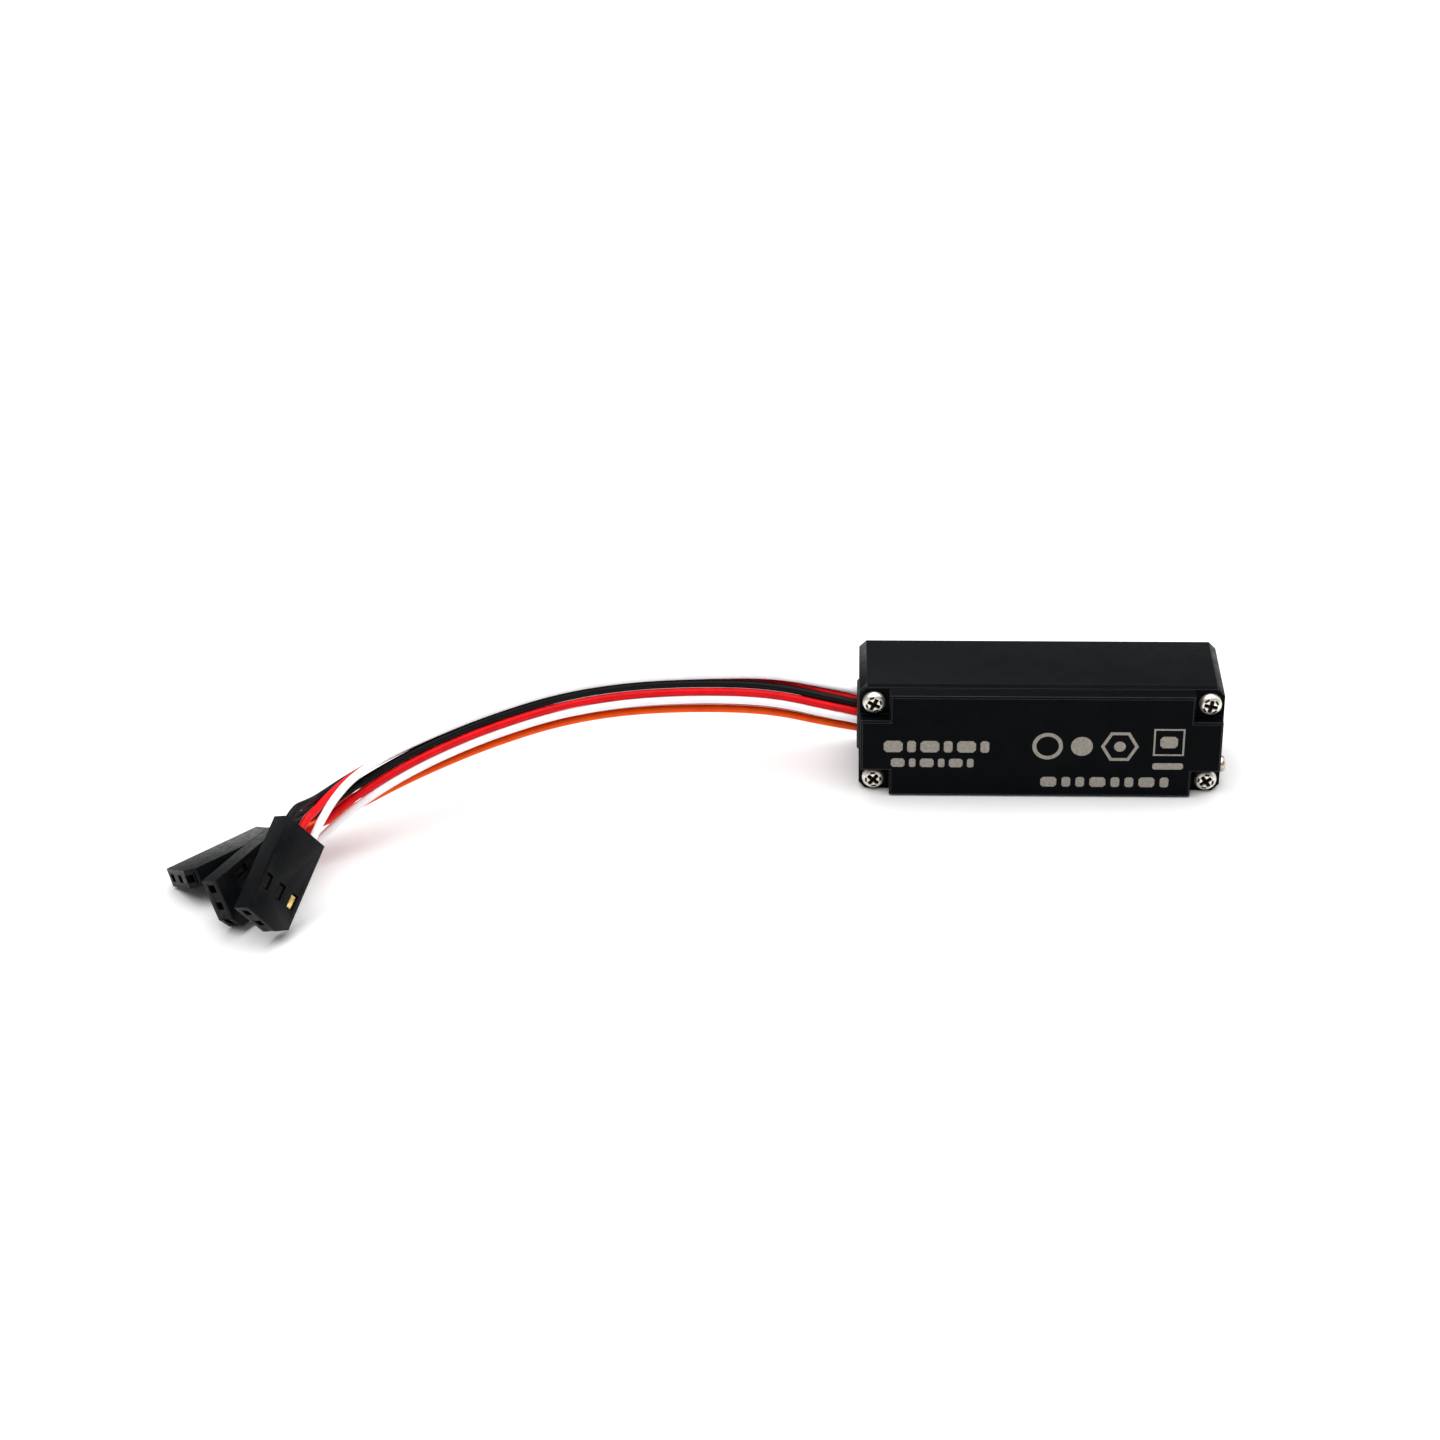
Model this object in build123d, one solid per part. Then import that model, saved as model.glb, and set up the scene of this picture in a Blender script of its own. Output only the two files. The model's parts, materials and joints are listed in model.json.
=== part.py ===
from build123d import *
import math
import os

# Small in-line electronic controller in a screwed plastic box, with three servo-type leads.
# Frame: +X along the box, -Y the screwed cover, +Y the back, +Z up. The box stands on its long
# narrow side, and the origin is the middle of its footprint. Millimetres.

# ---- box ----
BOX_LENGTH = 50.0
BOX_DEPTH = 16.0
BOX_HEIGHT = 16.0
EDGE_BEVEL = 1.0            # on the four edges that run front to back
WALL = 1.5

# ---- cover ----
COVER_DEPTH = 3.5           # whole thickness, from the raised face to the seam
FLANGE = 1.3                # thickness left under the screw heads
POCKET_LENGTH = 4.2         # screw pockets, along X
POCKET_HEIGHT = 4.1         # screw pockets, along Z
RAISED_INSET = 0.2
LIP_DEPTH = 1.0             # rim that drops inside the shell
LIP_GAP = 0.15
LIP_WALL = 1.0
COVER_FACE = 1.4            # thickness left behind the raised face
FACE_EDGE = 0.25            # small bevel round the raised face

# ---- screws ----
SCREW_INSET_X = 2.0
SCREW_INSET_Z = 2.05
HEAD_DIAMETER = 3.1
HEAD_HEIGHT = 1.2
SHANK_DIAMETER = 1.7
SHANK_LENGTH = 4.0
PILOT_CLEARANCE = 0.1
BOSS_DIAMETER = 3.4
BOSS_DEPTH = 6.0
BOSS_WEB = 1.6              # how far a boss's web reaches towards the end wall
HOLE_CLEARANCE = 0.15

# ---- board ----
BOARD_LEFT = -14.0
BOARD_RIGHT = 20.4
BOARD_BOTTOM = 1.9
BOARD_TOP = 14.1
BOARD_FRONT = -2.05
BOARD_THICK = 1.0
STANDOFFS = ((-10.5, 3.6), (13.5, 12.2))
STANDOFF_DIAMETER = 2.8

# ---- set button ----
BUTTON_Y = -3.15
BUTTON_Z = 2.75
BUTTON_RADIUS = 1.15
BUTTON_GAP = 0.1
BUTTON_PROUD = 0.95
BUTTON_TRAVEL = 0.25
STEM_RADIUS = 0.35
STEM_Z = 3.5
STEM_END = 19.6

# ---- leads ----
WIRE_DIAMETER = 1.08
WIRE_PITCH = 1.12
WIRE_SPREAD = 2.54          # cavity spacing in a plug
GROMMET_WINDOW = (-2.65, 2.25, 5.25, 12.2)   # y low, y high, z low, z high
GROMMET_RIM = 0.6
GROMMET_LIP = 0.5

# ---- plugs ----
PLUG_LENGTH = 14.0
PLUG_WIDTH = 7.62
PLUG_THICK = 2.6
CAVITY = 1.7
WIRE_BORE = 1.3
WIRE_INSIDE = 1.6           # how far a wire runs into its plug
CORNER_CUT = (1.2, 1.7)     # polarising corner, across and along
LATCH_WINDOW = (8.2, 10.4)  # along the plug, from its wire end

HALF = BOX_LENGTH / 2
FRONT = -BOX_DEPTH / 2
BACK = BOX_DEPTH / 2
SEAM = FRONT + COVER_DEPTH
FLANGE_FRONT = SEAM - FLANGE
BOARD_BACK = BOARD_FRONT + BOARD_THICK
CAVITIES = (-WIRE_SPREAD, 0.0, WIRE_SPREAD)

# A plug's frame starts at its wire end: X across it, Z through it, +Y towards the mating end.
PLUG_FRAMES = {
    "front": Plane(origin=(-99.2, -37.0, 13.9), x_dir=(0.52, 0.29, -0.80), z_dir=(-0.80, 0.48, -0.35)),
    "middle": Plane(origin=(-101.5, -31.5, 8.8), x_dir=(0.32, -0.12, -0.94), z_dir=(-0.82, 0.45, -0.34)),
    "left": Plane(origin=(-106.4, -23.5, 3.85), x_dir=(0.56, -0.73, 0.40), z_dir=(0.32, -0.26, -0.91)),
}

WINDOW_SIDES = {"front": -1, "middle": -1, "left": 1}

# Centre line of each lead from its solder joints to its plug, and beside each point the direction
# from the middle wire towards the "plus" wire there; fan spreads the wires, in pitches. The last two
# points follow from the plug, and approach is the straight run in front of it.
UP = (0, 0.49, 0.87)
FORWARD = (0, -0.87, 0.49)
LEADS = {
    "middle": {
        "plus": "black", "minus": "white", "plug_side": -1, "approach": 2.0,
        "points": [(-14.7, -1.26, 9.1), (-21.5, -1.26, 8.9), (-29.0, -0.5, 10.1), (-37.0, 0.1, 11.75),
                   (-46.6, -0.7, 12.55), (-57.0, -2.7, 13.05), (-66.3, -6, 13.05), (-75.4, -11, 12.4),
                   (-82.6, -15.5, 11.3), (-88.4, -19.6, 9.9), (-93.0, -23, 8.2), (-96.8, -26.2, 6.3)],
        "side": [UP] * 10 + [(0, 0.4, 0.9), (0, 0.3, 0.95)],
        "fan": [1] * 10 + [1.1, 1.3],
    },
    "front": {
        "plus": "white", "minus": "black", "plug_side": 1, "approach": 1.8,
        "points": [(-12.6, 0.5, 9.5), (-20.0, 0.7, 9.4), (-28.7, 1.2, 11.1), (-37.0, 1.9, 13.25),
                   (-46.8, 1.1, 14.05), (-57.4, -1, 14.55), (-67.0, -4.47, 14.58), (-76.2, -9.57, 13.88),
                   (-83.6, -14.2, 12.8), (-89.3, -18.6, 11.9), (-93.4, -23.5, 11.4), (-95.7, -28.0, 11.1),
                   (-96.8, -31.5, 11.1)],
        "side": [UP, UP, (0, 0.1, 1), (0, -0.6, 0.8)] + [FORWARD] * 6
                + [(0.2, -0.87, 0.4), (0.5, -0.8, 0.1), (0.6, -0.2, -0.8)],
        "fan": [1, 1, 1.1, 1.1] + [1.02] * 7 + [1.05, 1.3],
    },
    "left": {
        "plus": "black", "minus": "orange", "plug_side": -1, "approach": 2.0,
        "points": [(-12.6, 0.5, 6.8), (-20.0, 0.5, 6.6), (-29.1, 0.95, 7.9), (-37.2, 1.55, 9.5),
                   (-47.0, 0.75, 10.3), (-57.5, -1.25, 10.85), (-66.9, -4.6, 10.85), (-76.0, -9.6, 10.15),
                   (-83.2, -14.1, 9.1), (-88.8, -17.6, 7.9), (-93.6, -20.4, 6.6), (-98.0, -23.0, 5.3)],
        "side": [UP] * 9 + [(0, 0.55, 0.83), (-0.2, 0.7, 0.6), (-0.4, 0.85, 0.2)],
        "fan": [1] * 10 + [1.2, 1.5],
    },
}


def block(x0, x1, y0, y1, z0, z1):
    """A box between two corners."""
    return Pos((x0 + x1) / 2, (y0 + y1) / 2, (z0 + z1) / 2) * Box(x1 - x0, y1 - y0, z1 - z0)


def rod_y(x, z, y0, y1, radius):
    """A cylinder along Y."""
    return Pos(x, (y0 + y1) / 2, z) * Rot(90, 0, 0) * Cylinder(radius, y1 - y0)


def rod_x(y, z, x0, x1, radius):
    """A cylinder along X."""
    return Pos((x0 + x1) / 2, y, z) * Rot(0, 90, 0) * Cylinder(radius, x1 - x0)


def prism(inset, y0, y1, bevel):
    """The box outline, bevelled at its four corners, drawn in by inset and extruded along Y."""
    body = block(-HALF + inset, HALF - inset, y0, y1, inset, BOX_HEIGHT - inset)
    return chamfer(body.edges().filter_by(Axis.Y), bevel)


def screw_places():
    """X and Z of the four cover screws."""
    return [(x, z) for z in (SCREW_INSET_Z, BOX_HEIGHT - SCREW_INSET_Z)
            for x in (-HALF + SCREW_INSET_X, HALF - SCREW_INSET_X)]


def largest(shape):
    """The biggest solid of a boolean result."""
    return max(shape.solids(), key=lambda solid: solid.volume)


# ---- housing ----

def housing_shell():
    shell = prism(0, SEAM, BACK, EDGE_BEVEL) - prism(WALL, SEAM - 1, BACK - WALL, 0.4)
    for x, z in screw_places():
        boss = rod_y(x, z, SEAM + LIP_DEPTH + 0.2, SEAM + BOSS_DEPTH, BOSS_DIAMETER / 2)
        x0, x1 = sorted((x, x + math.copysign(BOSS_WEB, x)))
        boss += block(x0, x1, SEAM + LIP_DEPTH + 0.2, SEAM + BOSS_DEPTH, z - 1.0, z + 1.0)
        shell += boss & prism(0.3, SEAM, BACK, EDGE_BEVEL)
    for x, z in screw_places():
        shell -= rod_y(x, z, SEAM - 1, SEAM + SHANK_LENGTH, SHANK_DIAMETER / 2 + PILOT_CLEARANCE)
    for x, z in STANDOFFS:
        shell += rod_y(x, z, BOARD_BACK, BACK - WALL + 0.2, STANDOFF_DIAMETER / 2)
        shell -= rod_y(x, z, BOARD_BACK - 1, BOARD_BACK + 4.0, SHANK_DIAMETER / 2 + PILOT_CLEARANCE)
    y0, y1, z0, z1 = GROMMET_WINDOW
    rim = GROMMET_RIM
    shell -= block(-HALF - 1, -HALF + WALL + 1.1, y0 - rim, y1 + rim, z0 - rim, z1 + rim)
    pocket = rod_x(BUTTON_Y, BUTTON_Z, HALF - 0.6, HALF + 1, BUTTON_RADIUS + BUTTON_GAP)
    bore = rod_x(BUTTON_Y, STEM_Z, HALF - 6, HALF + 1, STEM_RADIUS + BUTTON_GAP)
    return largest(shell - pocket - bore)


def cover():
    plate = prism(0, FLANGE_FRONT, SEAM, EDGE_BEVEL)
    raised = prism(RAISED_INSET, FRONT, FLANGE_FRONT + 0.2, EDGE_BEVEL)
    for sx in (-1, 1):
        for z0, z1 in ((-1, POCKET_HEIGHT), (BOX_HEIGHT - POCKET_HEIGHT, BOX_HEIGHT + 1)):
            x0, x1 = sorted((sx * (HALF - POCKET_LENGTH), sx * (HALF + 1)))
            raised -= block(x0, x1, FRONT - 1, FLANGE_FRONT + 0.3, z0, z1)
    front = raised.faces().sort_by(Axis.Y)[0]
    raised = chamfer(front.edges(), FACE_EDGE)
    body = plate + raised
    lip = prism(WALL + LIP_GAP, SEAM - 0.2, SEAM + LIP_DEPTH, 0.3)
    lip -= prism(WALL + LIP_GAP + LIP_WALL, SEAM - 1, SEAM + LIP_DEPTH + 1, 0.3)
    body += lip
    side = WALL + LIP_GAP + LIP_WALL
    end = HALF - POCKET_LENGTH - COVER_FACE
    body -= block(-end, end, FRONT + COVER_FACE, SEAM + 0.1, side, BOX_HEIGHT - side)
    for x, z in screw_places():
        body -= rod_y(x, z, FRONT - 1, SEAM + LIP_DEPTH + 1, SHANK_DIAMETER / 2 + HOLE_CLEARANCE)
    y0, y1, z0, z1 = GROMMET_WINDOW
    body -= block(-HALF, -HALF + 4.5, SEAM, SEAM + 2, z0 - 1.2, z1 + 1.2)
    body -= block(HALF - 4.5, HALF, SEAM, SEAM + 2, 0.5, STEM_Z + 1.2)
    return largest(body)


def pan_screw(x, z, head_front, length):
    """A cross-recessed pan-head screw pointing along +Y."""
    head = rod_y(x, z, head_front, head_front + HEAD_HEIGHT, HEAD_DIAMETER / 2)
    rim = head.edges().filter_by(GeomType.CIRCLE).sort_by(Axis.Y)[0]
    head = fillet(rim, 0.55)
    for angle in (45, 135):
        head -= Pos(x, head_front, z) * Rot(0, angle, 0) * Box(1.9, 1.3, 0.42)
    shank = rod_y(x, z, head_front + HEAD_HEIGHT - 0.1, head_front + HEAD_HEIGHT + length - 0.5,
                  SHANK_DIAMETER / 2)
    tip_start = head_front + HEAD_HEIGHT + length - 0.5
    tip = Pos(x, tip_start + 0.25, z) * Rot(-90, 0, 0) * Cone(SHANK_DIAMETER / 2, 0.35, 0.5)
    return head + shank + tip


def cover_screws():
    return [pan_screw(x, z, FLANGE_FRONT - HEAD_HEIGHT, SHANK_LENGTH) for x, z in screw_places()]


def board_screws():
    return [pan_screw(x, z, BOARD_FRONT - HEAD_HEIGHT, SHANK_LENGTH) for x, z in STANDOFFS]


def cable_grommet():
    y0, y1, z0, z1 = GROMMET_WINDOW
    rim = GROMMET_RIM - 0.05
    ring = block(-HALF - 0.3, -HALF + WALL, y0 - rim, y1 + rim, z0 - rim, z1 + rim)
    inside = -HALF + WALL
    collar = block(inside + 0.05, inside + 1.0, y0 - rim, y1 + rim + GROMMET_LIP, z0 - rim, z1 + rim)
    neck = block(inside - 0.5, inside + 0.5, y0 - rim, y1 + rim, z0 - rim, z1 + rim)
    window = block(-HALF - 1, inside + 2, y0, y1, z0, z1)
    return chamfer((ring + collar + neck).faces().sort_by(Axis.X)[0].edges(), 0.2) - window


# ---- board and its parts ----

def main_board():
    board = block(BOARD_LEFT, BOARD_RIGHT, BOARD_FRONT, BOARD_BACK, BOARD_BOTTOM, BOARD_TOP)
    board = chamfer(board.edges().filter_by(Axis.Y), 0.6)
    for x, z in STANDOFFS:
        board -= rod_y(x, z, BOARD_FRONT - 1, BOARD_BACK + 1, SHANK_DIAMETER / 2 + HOLE_CLEARANCE)
    return board


def on_front(x, z, width, height, tall):
    """A part body standing on the front face of the board."""
    return block(x - width / 2, x + width / 2, BOARD_FRONT - tall, BOARD_FRONT,
                 z - height / 2, z + height / 2)


def on_back(x, z, width, height, tall):
    """A part body standing on the back face of the board."""
    return block(x - width / 2, x + width / 2, BOARD_BACK, BOARD_BACK + tall,
                 z - height / 2, z + height / 2)


def microcontroller():
    body = on_front(-1.0, 8.0, 6.0, 6.0, 1.1)
    body = chamfer(body.faces().sort_by(Axis.Y)[0].edges(), 0.15)
    return body - rod_y(-3.2, 10.2, BOARD_FRONT - 2, BOARD_FRONT - 0.95, 0.35)


def microcontroller_pins():
    pins = []
    for i in range(6):
        step = (i - 2.5) * 0.9
        for side in (-1, 1):
            pins.append(on_front(-1.0 + side * 3.45, 8.0 + step, 0.9, 0.35, 0.3))
            pins.append(on_front(-1.0 + step, 8.0 + side * 3.45, 0.35, 0.9, 0.3))
    return pins


def voltage_regulator():
    body = on_front(9.0, 5.2, 6.4, 3.5, 1.6)
    return chamfer(body.faces().sort_by(Axis.Y)[0].edges(), 0.2)


def regulator_tabs():
    tabs = [on_front(9.0, 7.55, 3.0, 1.2, 0.5)]
    tabs += [on_front(9.0 + i * 2.3, 2.85, 0.75, 1.2, 0.5) for i in (-1, 0, 1)]
    return tabs


def output_transistors():
    return [chamfer(on_back(x, z, 2.9, 1.5, 1.1).faces().sort_by(Axis.Y)[-1].edges(), 0.12)
            for x in (1.5, 6.0) for z in (4.0, 7.6, 11.2)]


def crystal():
    can = on_front(-8.6, 10.6, 3.2, 4.6, 1.2)
    return fillet(can.edges().filter_by(Axis.Y), 0.5)


def smoothing_capacitor():
    base = on_back(13.6, 6.0, 4.6, 4.6, 0.6)
    can = rod_y(13.6, 6.0, BOARD_BACK + 0.6, BOARD_BACK + 5.6, 2.1)
    rim = can.edges().filter_by(GeomType.CIRCLE).sort_by(Axis.Y)[-1]
    return base + fillet(rim, 0.4)


def ceramic_capacitors():
    return [on_front(x, z, 1.0, 1.8, 0.9) for x, z in
            ((4.8, 10.8), (4.8, 13.0), (-6.0, 3.4), (-4.0, 3.4), (4.2, 6.0), (9.3, 10.6), (11.2, 10.6))]


def chip_resistors():
    return [on_front(x, z, 1.6, 0.8, 0.45) for x, z in
            ((1.0, 2.9), (1.0, 13.0), (-2.0, 13.0), (-5.4, 13.0), (16.6, 8.6), (16.6, 7.0), (14.2, 8.8))]


def tactile_switch():
    body = block(17.2, STEM_END - 0.1, BUTTON_Y - 1.15, BOARD_FRONT, STEM_Z - 0.7, STEM_Z + 2.2)
    guide = rod_x(BUTTON_Y, STEM_Z, STEM_END - 1.4, STEM_END + 1, STEM_RADIUS + BUTTON_GAP)
    return body - guide


def switch_dome():
    """The snap dome inside the switch, behind the end of the stem."""
    return rod_x(BUTTON_Y, STEM_Z, STEM_END - 1.4, STEM_END - 1.25, STEM_RADIUS)


def set_button():
    cap = rod_x(BUTTON_Y, BUTTON_Z, HALF - 0.3, HALF + BUTTON_PROUD, BUTTON_RADIUS)
    rim = cap.edges().filter_by(GeomType.CIRCLE).sort_by(Axis.X)[-1]
    cap = fillet(rim, 0.45)
    stem = rod_x(BUTTON_Y, STEM_Z, STEM_END - 0.9, HALF - 0.2, STEM_RADIUS)
    return largest(cap + stem)


def foam_pad():
    """Double-sided foam block that damps the board against the back of the shell."""
    return block(-6.5, -1.5, BOARD_BACK + 0.05, BACK - WALL - 0.05, 4.4, 11.6)


# ---- leads ----

def plug_point(name, across, along, deep):
    """A point in a plug's own frame, in the object's frame."""
    return PLUG_FRAMES[name].from_local_coords(Vector(across, along, deep))


def wire_points(lead, step):
    """The route of one wire of a lead: step is +1, 0 or -1."""
    data = LEADS[lead]
    across = PLUG_WIDTH / 2 + data["plug_side"] * step * WIRE_SPREAD
    entry = [plug_point(lead, across, along, PLUG_THICK / 2) for along in (-data["approach"], WIRE_INSIDE)]
    middle_entry = plug_point(lead, PLUG_WIDTH / 2, -data["approach"], PLUG_THICK / 2)
    centres = [Vector(*point) for point in data["points"]] + [middle_entry]
    points = []
    for i, side in enumerate(data["side"]):
        along = (centres[i + 1] - centres[max(i - 1, 0)]).normalized()
        side = Vector(*side)
        side = (side - along * side.dot(along)).normalized()
        points.append(centres[i] + side * (WIRE_PITCH * data["fan"][i] * step))
    return points + entry


def bend_radii(points):
    """The largest arc that each corner's two runs leave room for."""
    radii = []
    for a, b, c in zip(points, points[1:], points[2:]):
        half_turn = math.radians((b - a).get_angle(c - b) / 2)
        shorter = min((b - a).length, (c - b).length)
        radii.append(0.45 * shorter / math.tan(half_turn))
    return radii


def wire(lead, step):
    points = wire_points(lead, step)
    radii = bend_radii(points)
    path = FilletPolyline(*points, radius=radii)
    profile = Plane(origin=path @ 0, z_dir=path % 0) * Circle(WIRE_DIAMETER / 2)
    tube = sweep(profile, path=path)
    section = math.pi * WIRE_DIAMETER ** 2 / 4
    print(f"{lead} {step:+d} length {path.length:.1f} radii", [round(r, 1) for r in radii],
          "volume ratio %.4f" % (tube.volume / section / path.length))
    return tube


def solder_joints():
    joints = []
    for lead in LEADS:
        for step in (-1, 0, 1):
            end = wire_points(lead, step)[0]
            if lead == "middle":
                joints.append(block(end.X, BOARD_LEFT, BOARD_FRONT + 0.1, BOARD_BACK - 0.1,
                                    end.Z - 0.4, end.Z + 0.4))
            else:
                joints.append(block(end.X, end.X + 0.8, BOARD_BACK, end.Y + 0.3, end.Z - 0.4, end.Z + 0.4))
    return joints


def plug_housing(window_side):
    """One three-way plug in its own frame, its windows on the -Z or the +Z face."""
    body = block(0, PLUG_WIDTH, 0, PLUG_LENGTH, 0, PLUG_THICK)
    corner = body.edges().filter_by(Axis.Z).sort_by(Axis.X)[2:].sort_by(Axis.Y)[-1]
    body = chamfer(corner, CORNER_CUT[0], CORNER_CUT[1])
    mid = PLUG_THICK / 2
    for offset in CAVITIES:
        x = PLUG_WIDTH / 2 + offset
        body -= block(x - CAVITY / 2, x + CAVITY / 2, 2.6, PLUG_LENGTH - 0.8,
                      mid - CAVITY / 2, mid + CAVITY / 2)
        body -= block(x - 0.55, x + 0.55, PLUG_LENGTH - 1, PLUG_LENGTH + 1, mid - 0.55, mid + 0.55)
        body -= rod_y(x, mid, -1, 2.7, WIRE_BORE / 2)
        low, high = sorted((mid, mid + window_side * 2.3))
        body -= block(x - 0.6, x + 0.6, *LATCH_WINDOW, low, high)
    return body


def plug_contacts(window_side):
    """The three crimped contacts of one plug, in its own frame."""
    contacts = []
    mid = PLUG_THICK / 2
    for offset in CAVITIES:
        x = PLUG_WIDTH / 2 + offset
        box = block(x - 0.7, x + 0.7, 6.6, 12.6, mid - 0.7, mid + 0.7)
        box -= block(x - 0.4, x + 0.4, 9.0, 13, mid - 0.4, mid + 0.4)
        low, high = sorted((mid + window_side * 0.6, mid + window_side * 1.05))
        latch = block(x - 0.4, x + 0.4, 8.4, 10.2, low, high)
        neck = block(x - 0.45, x + 0.45, 4.6, 6.7, mid - 0.45, mid + 0.45)
        crimp = rod_y(x, mid, WIRE_INSIDE, 4.7, 0.6)
        contacts.append(box + latch + neck + crimp)
    return contacts


# ---- writing ----

def save(name, shape):
    solids = []
    for item in (shape if isinstance(shape, (list, tuple)) else [shape]):
        solids += item.solids()
    whole = solids[0] if len(solids) == 1 else Compound(children=solids)
    export_step(whole, f"parts/{name}.step")


def main():
    os.makedirs("parts", exist_ok=True)
    save("housing_shell", housing_shell())
    save("cover", cover())
    save("cover_screws", cover_screws())
    save("board_screws", board_screws())
    save("cable_grommet", cable_grommet())
    save("main_board", main_board())
    save("microcontroller", microcontroller())
    save("microcontroller_pins", microcontroller_pins())
    save("voltage_regulator", voltage_regulator())
    save("regulator_tabs", regulator_tabs())
    save("output_transistors", output_transistors())
    save("crystal", crystal())
    save("smoothing_capacitor", smoothing_capacitor())
    save("ceramic_capacitors", ceramic_capacitors())
    save("chip_resistors", chip_resistors())
    save("tactile_switch", tactile_switch())
    save("switch_dome", switch_dome())
    save("set_button", set_button())
    save("foam_pad", foam_pad())
    save("solder_joints", solder_joints())
    for lead, data in LEADS.items():
        side = WINDOW_SIDES[lead]
        save(f"{lead}_plug_housing", PLUG_FRAMES[lead] * plug_housing(side))
        save(f"{lead}_plug_contacts", [PLUG_FRAMES[lead] * contact for contact in plug_contacts(side)])
        for step, colour in ((1, data["plus"]), (0, "red"), (-1, data["minus"])):
            save(f"{lead}_lead_{colour}_wire", wire(lead, step))


main()
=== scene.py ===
import bmesh
import bpy
import json
import math
from mathutils import Matrix, Vector

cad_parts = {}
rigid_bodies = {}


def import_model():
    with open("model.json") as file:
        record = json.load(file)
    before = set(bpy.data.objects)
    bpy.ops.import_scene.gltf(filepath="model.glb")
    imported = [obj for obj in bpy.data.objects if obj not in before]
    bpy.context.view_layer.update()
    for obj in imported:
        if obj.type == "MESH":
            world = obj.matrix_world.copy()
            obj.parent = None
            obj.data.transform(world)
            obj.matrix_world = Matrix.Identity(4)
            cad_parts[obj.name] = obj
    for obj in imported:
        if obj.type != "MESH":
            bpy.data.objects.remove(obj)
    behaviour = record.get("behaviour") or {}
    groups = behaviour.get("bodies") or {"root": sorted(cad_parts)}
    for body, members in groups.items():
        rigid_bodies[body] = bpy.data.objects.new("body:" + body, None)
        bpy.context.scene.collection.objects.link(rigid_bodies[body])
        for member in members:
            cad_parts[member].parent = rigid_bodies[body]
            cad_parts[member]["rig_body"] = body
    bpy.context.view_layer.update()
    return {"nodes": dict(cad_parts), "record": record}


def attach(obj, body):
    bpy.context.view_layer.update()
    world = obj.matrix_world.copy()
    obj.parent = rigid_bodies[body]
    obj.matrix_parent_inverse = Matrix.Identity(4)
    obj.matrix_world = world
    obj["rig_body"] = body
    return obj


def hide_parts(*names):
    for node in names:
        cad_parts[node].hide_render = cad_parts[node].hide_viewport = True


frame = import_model()
scene = bpy.context.scene
MM = 0.001

# ------------------------------------------------------------------ camera

PITCH, YAW, ROLL = (math.radians(a) for a in (29.633, -2.421, -0.844))
CAMERA_PLACE = (-0.02799, -0.38967, 0.22932)
LENS, SENSOR = 79.96, 36


def make_camera():
    """A long lens that looks down on the screwed cover."""
    ahead = Vector((math.sin(YAW), math.cos(YAW), 0))
    level = Vector((math.cos(YAW), -math.sin(YAW), 0))
    forward = math.cos(PITCH) * ahead - math.sin(PITCH) * Vector((0, 0, 1))
    upward = math.sin(PITCH) * ahead + math.cos(PITCH) * Vector((0, 0, 1))
    right = math.cos(ROLL) * level + math.sin(ROLL) * upward
    up = -math.sin(ROLL) * level + math.cos(ROLL) * upward
    data = bpy.data.cameras.new("camera")
    data.sensor_width = SENSOR
    data.lens = LENS
    data.clip_start, data.clip_end = 0.02, 20
    camera = bpy.data.objects.new("camera", data)
    scene.collection.objects.link(camera)
    turn = Matrix((right, up, -forward)).transposed().to_4x4()
    camera.matrix_world = Matrix.Translation(CAMERA_PLACE) @ turn
    scene.camera = camera


make_camera()

# ------------------------------------------------------------------ materials


def noise(nodes, links, coords, scale, detail=4.0, rough=0.55):
    node = nodes.new("ShaderNodeTexNoise")
    node.inputs["Scale"].default_value = scale
    node.inputs["Detail"].default_value = detail
    node.inputs["Roughness"].default_value = rough
    links.new(coords, node.inputs["Vector"])
    return node.outputs["Fac"]


def spread(nodes, links, value, low, high, start=0.35, end=0.65):
    """Maps a noise value to the range from low to high."""
    node = nodes.new("ShaderNodeMapRange")
    node.inputs["From Min"].default_value = start
    node.inputs["From Max"].default_value = end
    node.inputs["To Min"].default_value = low
    node.inputs["To Max"].default_value = high
    links.new(value, node.inputs["Value"])
    return node.outputs["Result"]


def ramp(nodes, links, value, stops):
    node = nodes.new("ShaderNodeValToRGB")
    while len(node.color_ramp.elements) < len(stops):
        node.color_ramp.elements.new(0.5)
    for element, (place, colour) in zip(node.color_ramp.elements, stops):
        element.position = place
        element.color = (*colour, 1)
    links.new(value, node.inputs["Fac"])
    return node.outputs["Color"]


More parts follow.
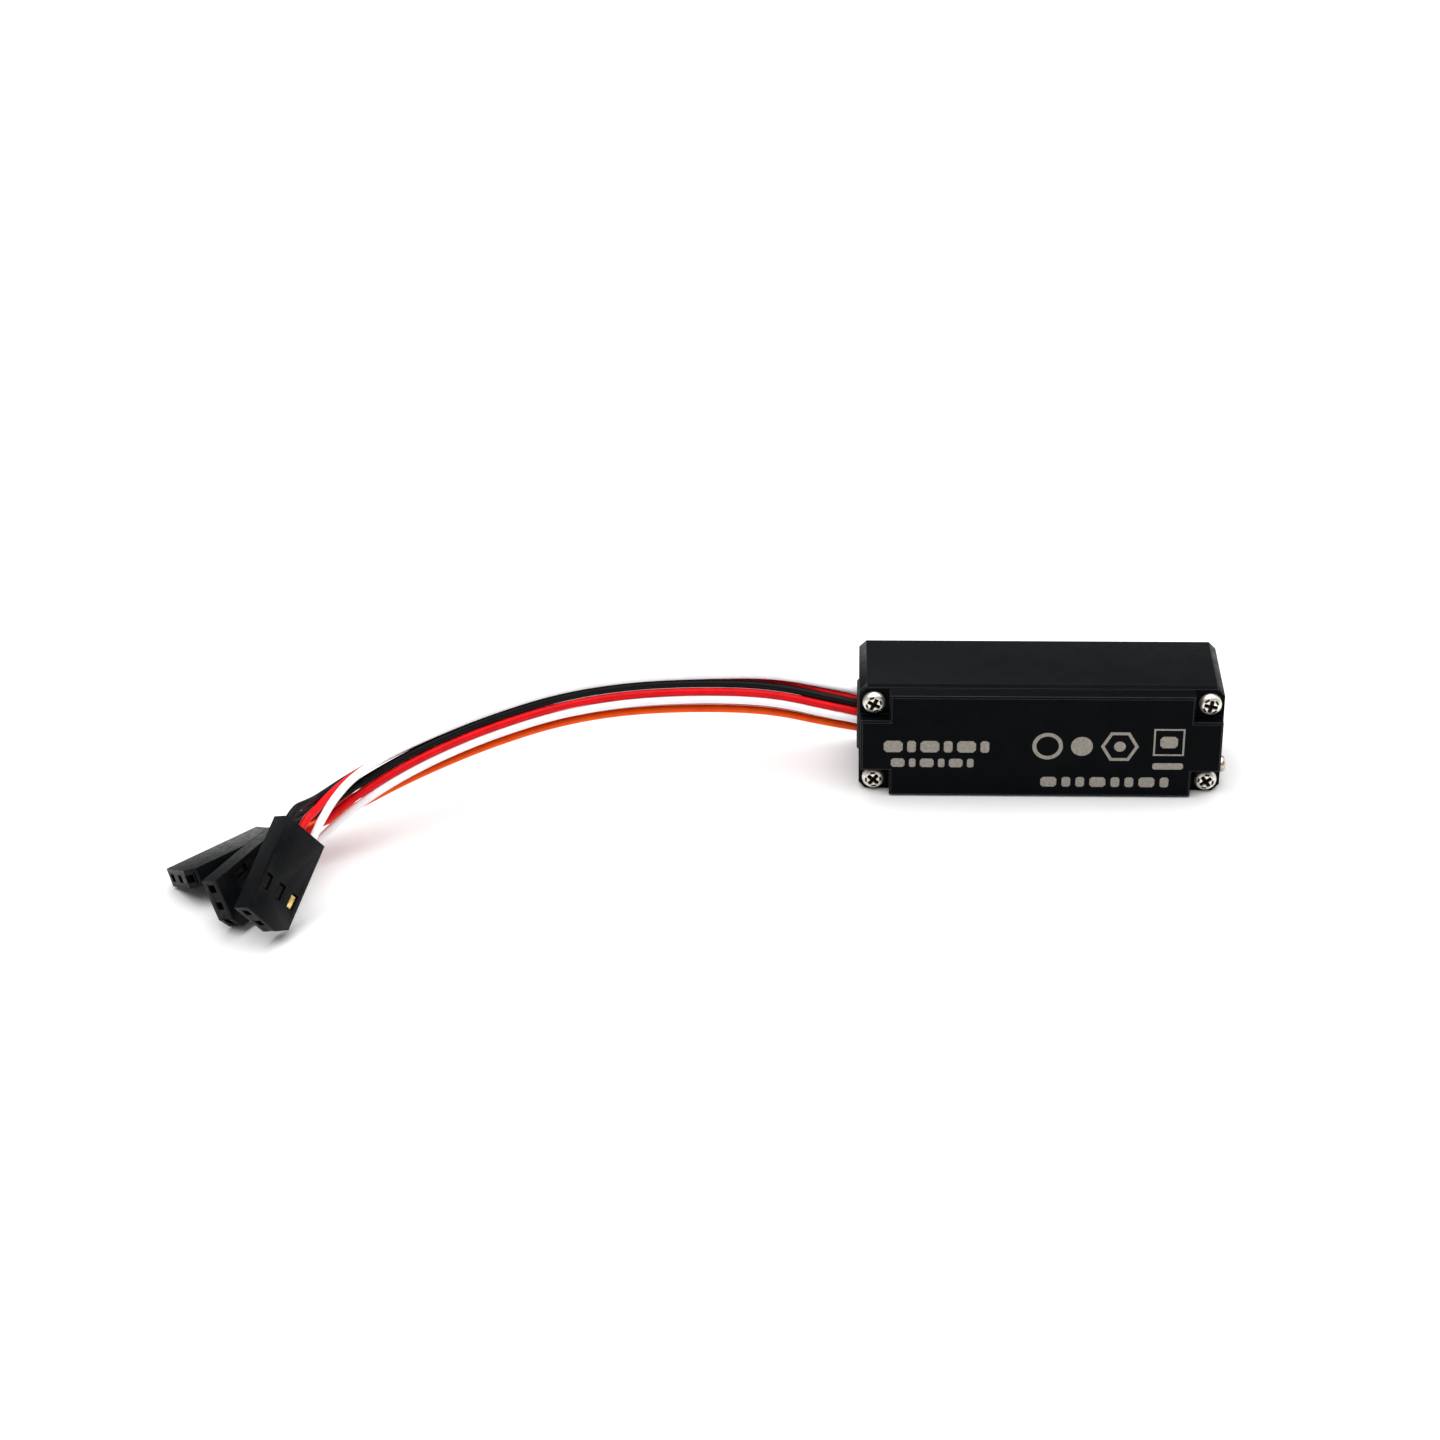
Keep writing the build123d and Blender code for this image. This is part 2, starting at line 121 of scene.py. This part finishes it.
def material(name, dark, light, roughness, metallic=0.0, specular=0.5, mottle=300.0, grain=9000.0,
             depth=0.01, stretch=(1, 1, 1), coat=0.0, scratches=0.0):
    """A procedural finish: mottled colour, uneven roughness, fine grain and, on hard parts, scratches."""
    made = bpy.data.materials.new(name)
    made.use_nodes = True
    nodes, links = made.node_tree.nodes, made.node_tree.links
    shader = nodes["Principled BSDF"]
    shader.inputs["Metallic"].default_value = metallic
    shader.inputs["Specular IOR Level"].default_value = specular
    shader.inputs["Coat Weight"].default_value = coat
    shader.inputs["Coat Roughness"].default_value = 0.25
    where = nodes.new("ShaderNodeTexCoord").outputs["Object"]
    mapping = nodes.new("ShaderNodeMapping")
    mapping.inputs["Scale"].default_value = stretch
    links.new(where, mapping.inputs["Vector"])
    coords = mapping.outputs["Vector"]
    blotch = noise(nodes, links, coords, mottle)
    links.new(ramp(nodes, links, blotch, ((0.3, dark), (0.7, light))), shader.inputs["Base Color"])
    low, high = roughness
    wear = noise(nodes, links, coords, mottle * 3.1, detail=6)
    links.new(spread(nodes, links, wear, low, high), shader.inputs["Roughness"])
    fine = nodes.new("ShaderNodeBump")
    fine.inputs["Strength"].default_value = 0.6
    fine.inputs["Distance"].default_value = depth * MM
    links.new(noise(nodes, links, coords, grain, detail=3), fine.inputs["Height"])
    out = fine.outputs["Normal"]
    if scratches:
        lines = nodes.new("ShaderNodeTexVoronoi")
        lines.feature = "DISTANCE_TO_EDGE"
        lines.inputs["Scale"].default_value = 260
        links.new(coords, lines.inputs["Vector"])
        groove = spread(nodes, links, lines.outputs["Distance"], 0, 1, 0.0, 0.02)
        cut = nodes.new("ShaderNodeBump")
        cut.inputs["Strength"].default_value = scratches
        cut.inputs["Distance"].default_value = 0.01 * MM
        links.new(groove, cut.inputs["Height"])
        links.new(out, cut.inputs["Normal"])
        out = cut.outputs["Normal"]
    links.new(out, shader.inputs["Normal"])
    return made


# Each look: darker and lighter colour, range of roughness, and what differs from a plain plastic.
LOOKS = {
    "shell_plastic": ((0.0016, 0.0022, 0.0027), (0.0028, 0.0036, 0.0041), (0.32, 0.46),
        dict(specular=0.06, grain=5200, depth=0.02)),
    "cover_plastic": ((0.0010, 0.0016, 0.0024), (0.0018, 0.0026, 0.0036), (0.38, 0.52),
        dict(specular=0.03, grain=5200, depth=0.018)),
    # The edge finish below is lighter than the plastic: a painted highlight along the bevelled edges.
    "painted_edge_highlight": ((0.008, 0.009, 0.010), (0.024, 0.026, 0.028), (0.25, 0.45),
        dict(specular=0.4, mottle=900, grain=7000)),
    "screw_steel": ((0.74, 0.69, 0.60), (0.93, 0.90, 0.83), (0.34, 0.5),
        dict(metallic=1, mottle=1400, grain=7000, depth=0.012, scratches=0.25)),
    # The recess finish is much darker than the steel: painted shade inside the cross recess.
    "screw_recess_painted_shade": ((0.008, 0.006, 0.005), (0.05, 0.04, 0.03), (0.45, 0.7),
        dict(metallic=1, mottle=2600, grain=9000)),
    "grommet_rubber": ((0.008, 0.008, 0.008), (0.018, 0.018, 0.018), (0.6, 0.8),
        dict(specular=0.3, grain=6000, depth=0.03)),
    "board_laminate": ((0.006, 0.09, 0.03), (0.012, 0.14, 0.05), (0.22, 0.34),
        dict(coat=0.4, grain=4000)),
    "chip_plastic": ((0.018, 0.018, 0.020), (0.034, 0.034, 0.036), (0.5, 0.7),
        dict(specular=0.35, grain=12000, depth=0.02)),
    "lead_metal": ((0.52, 0.52, 0.52), (0.74, 0.74, 0.74), (0.22, 0.42),
        dict(metallic=1, mottle=1600)),
    "can_aluminium": ((0.66, 0.66, 0.67), (0.82, 0.82, 0.83), (0.26, 0.4),
        dict(metallic=1, mottle=800, scratches=0.15)),
    "crystal_can": ((0.55, 0.55, 0.54), (0.72, 0.72, 0.71), (0.24, 0.36),
        dict(metallic=1, mottle=900, scratches=0.15)),
    "ceramic_tan": ((0.40, 0.27, 0.15), (0.58, 0.42, 0.27), (0.45, 0.65),
        dict(mottle=1500)),
    "resistor_black": ((0.012, 0.012, 0.014), (0.04, 0.04, 0.045), (0.3, 0.5),
        dict(mottle=1500)),
    "switch_plastic": ((0.05, 0.05, 0.05), (0.085, 0.085, 0.085), (0.5, 0.65),
        dict(grain=8000)),
    "button_metal": ((0.42, 0.34, 0.25), (0.70, 0.62, 0.52), (0.22, 0.42),
        dict(metallic=1, mottle=1700, scratches=0.3)),
    "solder": ((0.60, 0.60, 0.60), (0.80, 0.80, 0.80), (0.15, 0.38),
        dict(metallic=1, mottle=1800, grain=3000, depth=0.05)),
    "foam_grey": ((0.10, 0.10, 0.10), (0.20, 0.20, 0.20), (0.85, 0.95),
        dict(specular=0.2, grain=3500, depth=0.2)),
    "plug_plastic": ((0.0018, 0.0021, 0.0026), (0.0036, 0.0042, 0.0048), (0.32, 0.48),
        dict(specular=0.10, mottle=500, grain=4200, depth=0.03)),
    "contact_gold": ((0.62, 0.42, 0.13), (0.90, 0.66, 0.26), (0.2, 0.36),
        dict(metallic=1, mottle=1800)),
    # The next finish darkens contacts that should look dark: it is painted shade.
    "contact_painted_shade": ((0.006, 0.0045, 0.003), (0.016, 0.012, 0.007), (0.4, 0.6),
        dict(metallic=0.6, specular=0.2, mottle=1800)),
    "wire_black": ((0.0022, 0.0022, 0.0026), (0.0045, 0.0045, 0.005), (0.36, 0.5),
        dict(specular=0.12, mottle=420, grain=2600, depth=0.02)),
    "wire_red": ((0.60, 0.001, 0.004), (0.80, 0.002, 0.007), (0.34, 0.48),
        dict(specular=0.14, mottle=420, grain=2600, depth=0.02)),
    "wire_white": ((0.90, 0.87, 0.90), (0.98, 0.965, 0.98), (0.34, 0.48),
        dict(specular=0.3, mottle=420, grain=2600, depth=0.02)),
    "wire_orange": ((0.92, 0.070, 0.001), (1.0, 0.115, 0.002), (0.34, 0.48),
        dict(specular=0.16, mottle=420, grain=2600, depth=0.02)),
    "print_ink": ((0.22, 0.20, 0.17), (0.34, 0.31, 0.27), (0.55, 0.75),
        dict(specular=0.15, mottle=2500, grain=9000, depth=0.012)),
}
FINISH = {name: material(name, dark, light, roughness, **rest)
          for name, (dark, light, roughness, rest) in LOOKS.items()}

# ------------------------------------------------------------------ leads

# The leads' routes in millimetres: the centre line of each lead, and beside each point the direction
# from its middle wire towards its "plus" wire. "fan" spreads the wires, in pitches, and "approach" is the
# straight run in front of the plug.
WIRE_DIAMETER, WIRE_PITCH, WIRE_SPREAD = 1.11, 1.12, 2.54
PLUG_WIDTH, PLUG_THICK, WIRE_INSIDE = 7.62, 2.6, 1.6
UP = (0, 0.49, 0.87)
FORWARD = (0, -0.87, 0.49)
PLUG_FRAMES = {
    "front": ((-99.2, -37.0, 13.9), (0.52, 0.29, -0.80), (-0.80, 0.48, -0.35)),
    "middle": ((-101.5, -31.5, 8.8), (0.32, -0.12, -0.94), (-0.82, 0.45, -0.34)),
    "left": ((-106.4, -23.5, 3.85), (0.56, -0.73, 0.40), (0.32, -0.26, -0.91)),
}
LEADS = {
    "middle": {
        "plus": "black", "minus": "white", "plug_side": -1, "approach": 2.0,
        "points": [(-14.7, -1.26, 9.1), (-21.5, -1.26, 8.9), (-29.0, -0.5, 10.1), (-37.0, 0.1, 11.75),
                   (-46.6, -0.7, 12.55), (-57.0, -2.7, 13.05), (-66.3, -6, 13.05), (-75.4, -11, 12.4),
                   (-82.6, -15.5, 11.3), (-88.4, -19.6, 9.9), (-93.0, -23, 8.2), (-96.8, -26.2, 6.3)],
        "side": [UP] * 10 + [(0, 0.4, 0.9), (0, 0.3, 0.95)],
        "fan": [1] * 10 + [1.1, 1.3],
    },
    "front": {
        "plus": "white", "minus": "black", "plug_side": 1, "approach": 1.8,
        "points": [(-12.6, 0.5, 9.5), (-20.0, 0.7, 9.4), (-28.7, 1.2, 11.1), (-37.0, 1.9, 13.25),
                   (-46.8, 1.1, 14.05), (-57.4, -1, 14.55), (-67.0, -4.47, 14.58), (-76.2, -9.57, 13.88),
                   (-83.6, -14.2, 12.8), (-89.3, -18.6, 11.9), (-93.4, -23.5, 11.4), (-95.7, -28.0, 11.1),
                   (-96.8, -31.5, 11.1)],
        "side": [UP, UP, (0, 0.1, 1), (0, -0.6, 0.8)] + [FORWARD] * 6
                + [(0.2, -0.87, 0.4), (0.5, -0.8, 0.1), (0.6, -0.2, -0.8)],
        "fan": [1, 1, 1.1, 1.1] + [1.02] * 7 + [1.05, 1.3],
    },
    "left": {
        "plus": "black", "minus": "orange", "plug_side": -1, "approach": 2.0,
        "points": [(-12.6, 0.5, 6.8), (-20.0, 0.5, 6.6), (-29.1, 0.95, 7.9), (-37.2, 1.55, 9.5),
                   (-47.0, 0.75, 10.3), (-57.5, -1.25, 10.85), (-66.9, -4.6, 10.85), (-76.0, -9.6, 10.15),
                   (-83.2, -14.1, 9.1), (-88.8, -17.6, 7.9), (-93.6, -20.4, 6.6), (-98.0, -23.0, 5.3)],
        "side": [UP] * 9 + [(0, 0.55, 0.83), (-0.2, 0.7, 0.6), (-0.4, 0.85, 0.2)],
        "fan": [1] * 10 + [1.2, 1.5],
    },
}


def plug_matrix(lead):
    """A plug's own frame: X across it, -Z its windowed face, +Y towards its mating end."""
    origin, x_dir, z_dir = (Vector(v) for v in PLUG_FRAMES[lead])
    z = z_dir.normalized()
    x = (x_dir - z * x_dir.dot(z)).normalized()
    turn = Matrix((x, z.cross(x), z)).transposed().to_4x4()
    return Matrix.Translation(origin) @ turn


def wire_points(lead, step):
    data = LEADS[lead]
    place = plug_matrix(lead)
    across = PLUG_WIDTH / 2 + data["plug_side"] * step * WIRE_SPREAD
    entry = [place @ Vector((across, along, PLUG_THICK / 2)) for along in (-data["approach"], WIRE_INSIDE)]
    middle_entry = place @ Vector((PLUG_WIDTH / 2, -data["approach"], PLUG_THICK / 2))
    centres = [Vector(point) for point in data["points"]] + [middle_entry]
    points = []
    for i, side in enumerate(data["side"]):
        along = (centres[i + 1] - centres[max(i - 1, 0)]).normalized()
        side = Vector(side)
        side = (side - along * side.dot(along)).normalized()
        points.append(centres[i] + side * (WIRE_PITCH * data["fan"][i] * step))
    return points + entry


def make_wire(lead, colour, step):
    name = f"{lead}_lead_{colour}"
    curve = bpy.data.curves.new(name, "CURVE")
    curve.dimensions = "3D"
    curve.bevel_depth = WIRE_DIAMETER / 2 * MM
    curve.bevel_resolution = 6
    curve.resolution_u = 12
    curve.use_fill_caps = True
    points = wire_points(lead, step)
    spline = curve.splines.new("NURBS")
    spline.points.add(len(points) - 1)
    for point, place in zip(spline.points, points):
        point.co = (*(place * MM), 1)
    spline.order_u = 3
    spline.use_endpoint_u = True
    cord = bpy.data.objects.new(name, curve)
    scene.collection.objects.link(cord)
    curve.materials.append(FINISH[f"wire_{colour}"])
    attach(cord, "housing")
    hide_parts(f"{lead}_lead_{colour}_wire")
    return cord, points


# ------------------------------------------------------------------ refined hard parts


MERGE_DISTANCE = 2e-6
FLAT_ANGLE, SHARP_ANGLE = math.radians(0.5), math.radians(28)


def refined(node, finish, bevel, segments=2, edge=None):
    """The CAD node's own shape with its flat faces rejoined and its sharp edges softened."""
    source = frame["nodes"][node]
    mesh = source.data.copy()
    mesh.name = f"{node}_refined"
    mesh.materials.clear()
    shape = bmesh.new()
    shape.from_mesh(mesh)
    bmesh.ops.remove_doubles(shape, verts=shape.verts, dist=MERGE_DISTANCE)
    bmesh.ops.dissolve_limit(shape, angle_limit=FLAT_ANGLE, verts=shape.verts, edges=shape.edges)
    for face in shape.faces:
        face.smooth = True
    shape.to_mesh(mesh)
    shape.free()
    mesh.materials.append(FINISH[finish])
    piece = bpy.data.objects.new(f"{node}_refined", mesh)
    scene.collection.objects.link(piece)
    soften = piece.modifiers.new("soften", "BEVEL")
    soften.width = bevel * MM
    soften.segments = segments
    soften.limit_method = "ANGLE"
    soften.angle_limit = SHARP_ANGLE
    soften.harden_normals = True
    # The bevel faces take the edge finish, whose lighter colour is a painted highlight along the edges.
    if edge:
        mesh.materials.append(FINISH[edge])
        soften.material = 1
    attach(piece, source["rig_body"])
    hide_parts(node)
    return piece


def paint_shade_on_contacts(piece, lead, bright_from):
    """Paints shade on a plug's contacts as a dark finish, except those past bright_from across the plug."""
    across = plug_matrix(lead).inverted()
    piece.data.materials.append(FINISH["contact_painted_shade"])
    for face in piece.data.polygons:
        face.material_index = 0 if (across @ (face.center / MM)).x > bright_from else 1


def new_piece(name, shape, finishes, body):
    mesh = bpy.data.meshes.new(name)
    shape.to_mesh(mesh)
    shape.free()
    for finish in finishes:
        mesh.materials.append(FINISH[finish])
    piece = bpy.data.objects.new(name, mesh)
    scene.collection.objects.link(piece)
    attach(piece, body)
    return piece


# ------------------------------------------------------------------ cover screws

HEAD_PROFILE = [(0.0, 0.0), (0.45, 0.008), (0.85, 0.05), (1.15, 0.14), (1.36, 0.29), (1.49, 0.5),
                (1.55, 0.75), (1.55, 1.08), (1.50, 1.17), (1.40, 1.2), (0.85, 1.2)]
THREAD_PITCH, THREAD_TURNS, CORE, CREST, SHANK_END = 0.5, 7, 0.62, 0.85, 5.2
RECESS_MOUTH, RECESS_BOTTOM, RECESS_REACH = 0.09, 0.85, 1.0
HEAD_FRONT, SCREW_X, SCREW_LOW, SCREW_HIGH = -7.0, 23.0, 2.05, 13.95


def screw_profile():
    """Radius and depth along the screw: the domed head, the thread's ridges and the tip."""
    profile = list(HEAD_PROFILE)
    for turn in range(THREAD_TURNS):
        start = 1.25 + turn * THREAD_PITCH
        profile += [(CORE, start + 0.05), (CREST, start + 0.22), (CREST, start + 0.28), (CORE, start + 0.45)]
    return profile + [(CORE, SHANK_END - 0.35), (0.2, SHANK_END - 0.05), (0.0, SHANK_END)]


def lathe(profile, steps=56):
    """A solid of revolution about +Y."""
    shape = bmesh.new()
    rings = []
    for radius, y in profile:
        if radius == 0:
            rings.append([shape.verts.new((0, y, 0))])
        else:
            rings.append([shape.verts.new((radius * math.cos(a), y, radius * math.sin(a)))
                          for a in (2 * math.pi * i / steps for i in range(steps))])
    for near, far in zip(rings, rings[1:]):
        for i in range(steps):
            j = (i + 1) % steps
            corners = [near[i % len(near)], near[j % len(near)], far[j % len(far)], far[i % len(far)]]
            shape.faces.new(list(dict.fromkeys(corners)))
    bmesh.ops.recalc_face_normals(shape, faces=shape.faces)
    return shape


def cross_cutter():
    """Four tapered arms of a cross recess, wider at the mouth."""
    shape = bmesh.new()
    for turn in (0, 90):
        spin = Matrix.Rotation(math.radians(turn), 3, "Y")
        loops = []
        for y, reach, half in ((-0.4, 1.12, 0.35), (0.28, 0.86, 0.26), (0.80, 0.36, 0.15)):
            corners = ((-reach, -half), (reach, -half), (reach, half), (-reach, half))
            loops.append([shape.verts.new(spin @ Vector((x, y, z))) for x, z in corners])
        shape.faces.new(loops[0])
        shape.faces.new(loops[-1][::-1])
        for near, far in zip(loops, loops[1:]):
            for i in range(4):
                shape.faces.new([near[i], far[i], far[(i + 1) % 4], near[(i + 1) % 4]])
    bmesh.ops.recalc_face_normals(shape, faces=shape.faces)
    return shape


def screw_mesh():
    """One cross-recessed pan-head screw, its head's crown at the origin and its shank along +Y."""
    parts = []
    for name, shape in (("screw_blank", lathe(screw_profile())), ("screw_cutter", cross_cutter())):
        mesh = bpy.data.meshes.new(name)
        shape.to_mesh(mesh)
        shape.free()
        part = bpy.data.objects.new(name, mesh)
        scene.collection.objects.link(part)
        parts.append(part)
    blank, cutter = parts
    cut = blank.modifiers.new("recess", "BOOLEAN")
    cut.operation = "DIFFERENCE"
    cut.solver = "EXACT"
    cut.use_self = True
    cut.object = cutter
    bpy.context.view_layer.update()
    made = bpy.data.meshes.new_from_object(blank.evaluated_get(bpy.context.evaluated_depsgraph_get()))
    for part in parts:
        bpy.data.objects.remove(part)
    return made


def make_cover_screws():
    screw = screw_mesh()
    shape = bmesh.new()
    turns = {(-1, SCREW_HIGH): 28, (1, SCREW_HIGH): 12, (-1, SCREW_LOW): 40, (1, SCREW_LOW): 55}
    for (side, z), turn in turns.items():
        start = len(shape.verts)
        shape.from_mesh(screw)
        shape.verts.ensure_lookup_table()
        place = (Matrix.Translation((side * SCREW_X, HEAD_FRONT, z))
                 @ Matrix.Rotation(math.radians(turn), 4, "Y"))
        for vert in shape.verts[start:]:
            vert.co = (place @ vert.co) * MM
    # Faces inside the cross recess take the dark finish, which is painted shade.
    for face in shape.faces:
        centre = face.calc_center_median() / MM
        off_x = abs(centre.x) - SCREW_X
        off_z = min(abs(centre.z - SCREW_HIGH), abs(centre.z - SCREW_LOW))
        recessed = HEAD_FRONT + RECESS_MOUTH < centre.y < HEAD_FRONT + RECESS_BOTTOM
        face.material_index = 1 if recessed and math.hypot(off_x, off_z) < RECESS_REACH else 0
        face.smooth = True
    piece = new_piece("cover_screws_detailed", shape, ["screw_steel", "screw_recess_painted_shade"], "housing")
    piece.data.set_sharp_from_angle(angle=math.radians(32))
    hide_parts("cover_screws")


# ------------------------------------------------------------------ printed marks

FACE_Y = -8.0
INK = 0.02


def add_plate(shape, outline):
    """A thin printed patch on the cover, from its outline in X and Z."""
    front = [shape.verts.new((x * MM, (FACE_Y - INK) * MM, z * MM)) for x, z in outline]
    back = [shape.verts.new((x * MM, (FACE_Y + INK) * MM, z * MM)) for x, z in outline]
    shape.faces.new(front)
    shape.faces.new(back[::-1])
    for i in range(len(outline)):
        j = (i + 1) % len(outline)
        shape.faces.new([front[i], back[i], back[j], front[j]])


def add_bar(shape, x0, x1, z0, z1):
    corner = min(x1 - x0, z1 - z0) * 0.22
    add_plate(shape, [(x0 + corner, z0), (x1 - corner, z0), (x1, z0 + corner), (x1, z1 - corner),
                      (x1 - corner, z1), (x0 + corner, z1), (x0, z1 - corner), (x0, z0 + corner)])


def add_ring(shape, x, z, outer, inner, sides=40, turn=0.0):
    """A ring or a frame of any number of sides, in short flat pieces."""
    for i in range(sides):
        a, b = (turn + 2 * math.pi * k / sides for k in (i, i + 1))
        add_plate(shape, [(x + r * math.cos(t), z + r * math.sin(t))
                          for r, t in ((outer, a), (outer, b), (inner, b), (inner, a))])


def make_marks():
    """Plain shapes where the cover is printed: they stand for no word, name or symbol."""
    shape = bmesh.new()
    x = -21.6
    for width in (2.6, 1.2, 2.6, 1.2, 2.6, 1.2):
        add_bar(shape, x, x + width, 7.1, 8.9)
        x += width + 0.62
    x = -20.6
    for width in (1.9, 0.9, 1.9, 0.9, 1.9, 0.9):
        add_bar(shape, x, x + width, 4.75, 6.1)
        x += width + 0.6
    add_ring(shape, 0.9, 8.2, 2.1, 1.55)
    add_ring(shape, 5.6, 8.2, 1.5, 0.02)
    add_ring(shape, 10.8, 8.2, 2.6, 2.1, sides=6)
    add_ring(shape, 10.8, 8.2, 0.8, 0.02, sides=24)
    add_ring(shape, 17.5, 8.9, 3.0, 2.65, sides=4, turn=math.pi / 4)
    add_bar(shape, 16.3, 18.7, 8.0, 9.8)
    add_bar(shape, 15.4, 19.6, 4.6, 5.6)
    x = 0.1
    for width in (2.2, 1.2, 1.2, 2.2, 1.2, 1.2, 2.2, 1.2):
        add_bar(shape, x, x + width, 1.75, 3.3)
        x += width + 0.72
    bmesh.ops.recalc_face_normals(shape, faces=shape.faces)
    new_piece("cover_printed_marks", shape, ["print_ink"], "housing")


# ------------------------------------------------------------------ everything in place

# The third entry is the finish of the bevel faces, lighter than the plastic: a painted highlight.
HARD_PARTS = {
    "housing_shell": ("shell_plastic", 0.14, "painted_edge_highlight"),
    "cover": ("cover_plastic", 0.12, "painted_edge_highlight"),
    "cable_grommet": ("grommet_rubber", 0.1, None),
    "set_button": ("button_metal", 0.06, None),
    "front_plug_housing": ("plug_plastic", 0.1, None),
    "middle_plug_housing": ("plug_plastic", 0.1, None),
    "left_plug_housing": ("plug_plastic", 0.1, None),
    "front_plug_contacts": ("contact_gold", 0.05, None),
    "middle_plug_contacts": ("contact_gold", 0.05, None),
    "left_plug_contacts": ("contact_gold", 0.05, None),
}
made = {node: refined(node, finish, bevel, edge=edge) for node, (finish, bevel, edge) in HARD_PARTS.items()}
# Only the last contact of the front plug is bright; the others, on every plug, get a dark finish that is
# painted shade.
BRIGHT_FROM = {"front": 5.1, "middle": PLUG_WIDTH, "left": PLUG_WIDTH}
for lead, bright_from in BRIGHT_FROM.items():
    paint_shade_on_contacts(made[f"{lead}_plug_contacts"], lead, bright_from)
make_cover_screws()
make_marks()

for lead, data in LEADS.items():
    for step, colour in ((1, data["plus"]), (0, "red"), (-1, data["minus"])):
        cord, route = make_wire(lead, colour, step)

slots = {part["node"]: part["material_slot"] for part in frame["record"]["subparts"]}
for name, node in frame["nodes"].items():
    if not node.hide_render:
        node.data.materials.clear()
        node.data.materials.append(FINISH[slots[name]])

# ------------------------------------------------------------------ stage and light


def make_floor():
    shape = bmesh.new()
    bmesh.ops.create_grid(shape, x_segments=2, y_segments=2, size=3.0)
    mesh = bpy.data.meshes.new("floor")
    shape.to_mesh(mesh)
    shape.free()
    floor = bpy.data.objects.new("floor", mesh)
    scene.collection.objects.link(floor)
    mesh.materials.append(material("floor_paper", (0.86, 0.86, 0.855), (0.90, 0.90, 0.895), (0.8, 0.95),
                                   specular=0.1, mottle=12, grain=900, depth=0.02))


def make_light(name, place, aim, size, watts, colour=(1, 1, 1)):
    data = bpy.data.lights.new(name, "AREA")
    data.shape = "RECTANGLE"
    data.size, data.size_y = size
    data.energy = watts
    data.color = colour
    lamp = bpy.data.objects.new(name, data)
    scene.collection.objects.link(lamp)
    lamp.location = place
    lamp.rotation_euler = (Vector(aim) - Vector(place)).to_track_quat("-Z", "Y").to_euler()


make_floor()
make_light("overhead", (-0.05, 0.0, 0.75), (-0.03, -0.01, 0), (1.3, 1.1), 12.4)
make_light("right_fill", (0.75, 0.25, 0.35), (0, 0, 0), (0.5, 0.5), 1.2)
world = bpy.data.worlds.new("studio")
world.use_nodes = True
world.node_tree.nodes["Background"].inputs["Color"].default_value = (0.96, 0.98, 1.0, 1)
world.node_tree.nodes["Background"].inputs["Strength"].default_value = 0.32
scene.world = world
scene.view_settings.view_transform = "Standard"
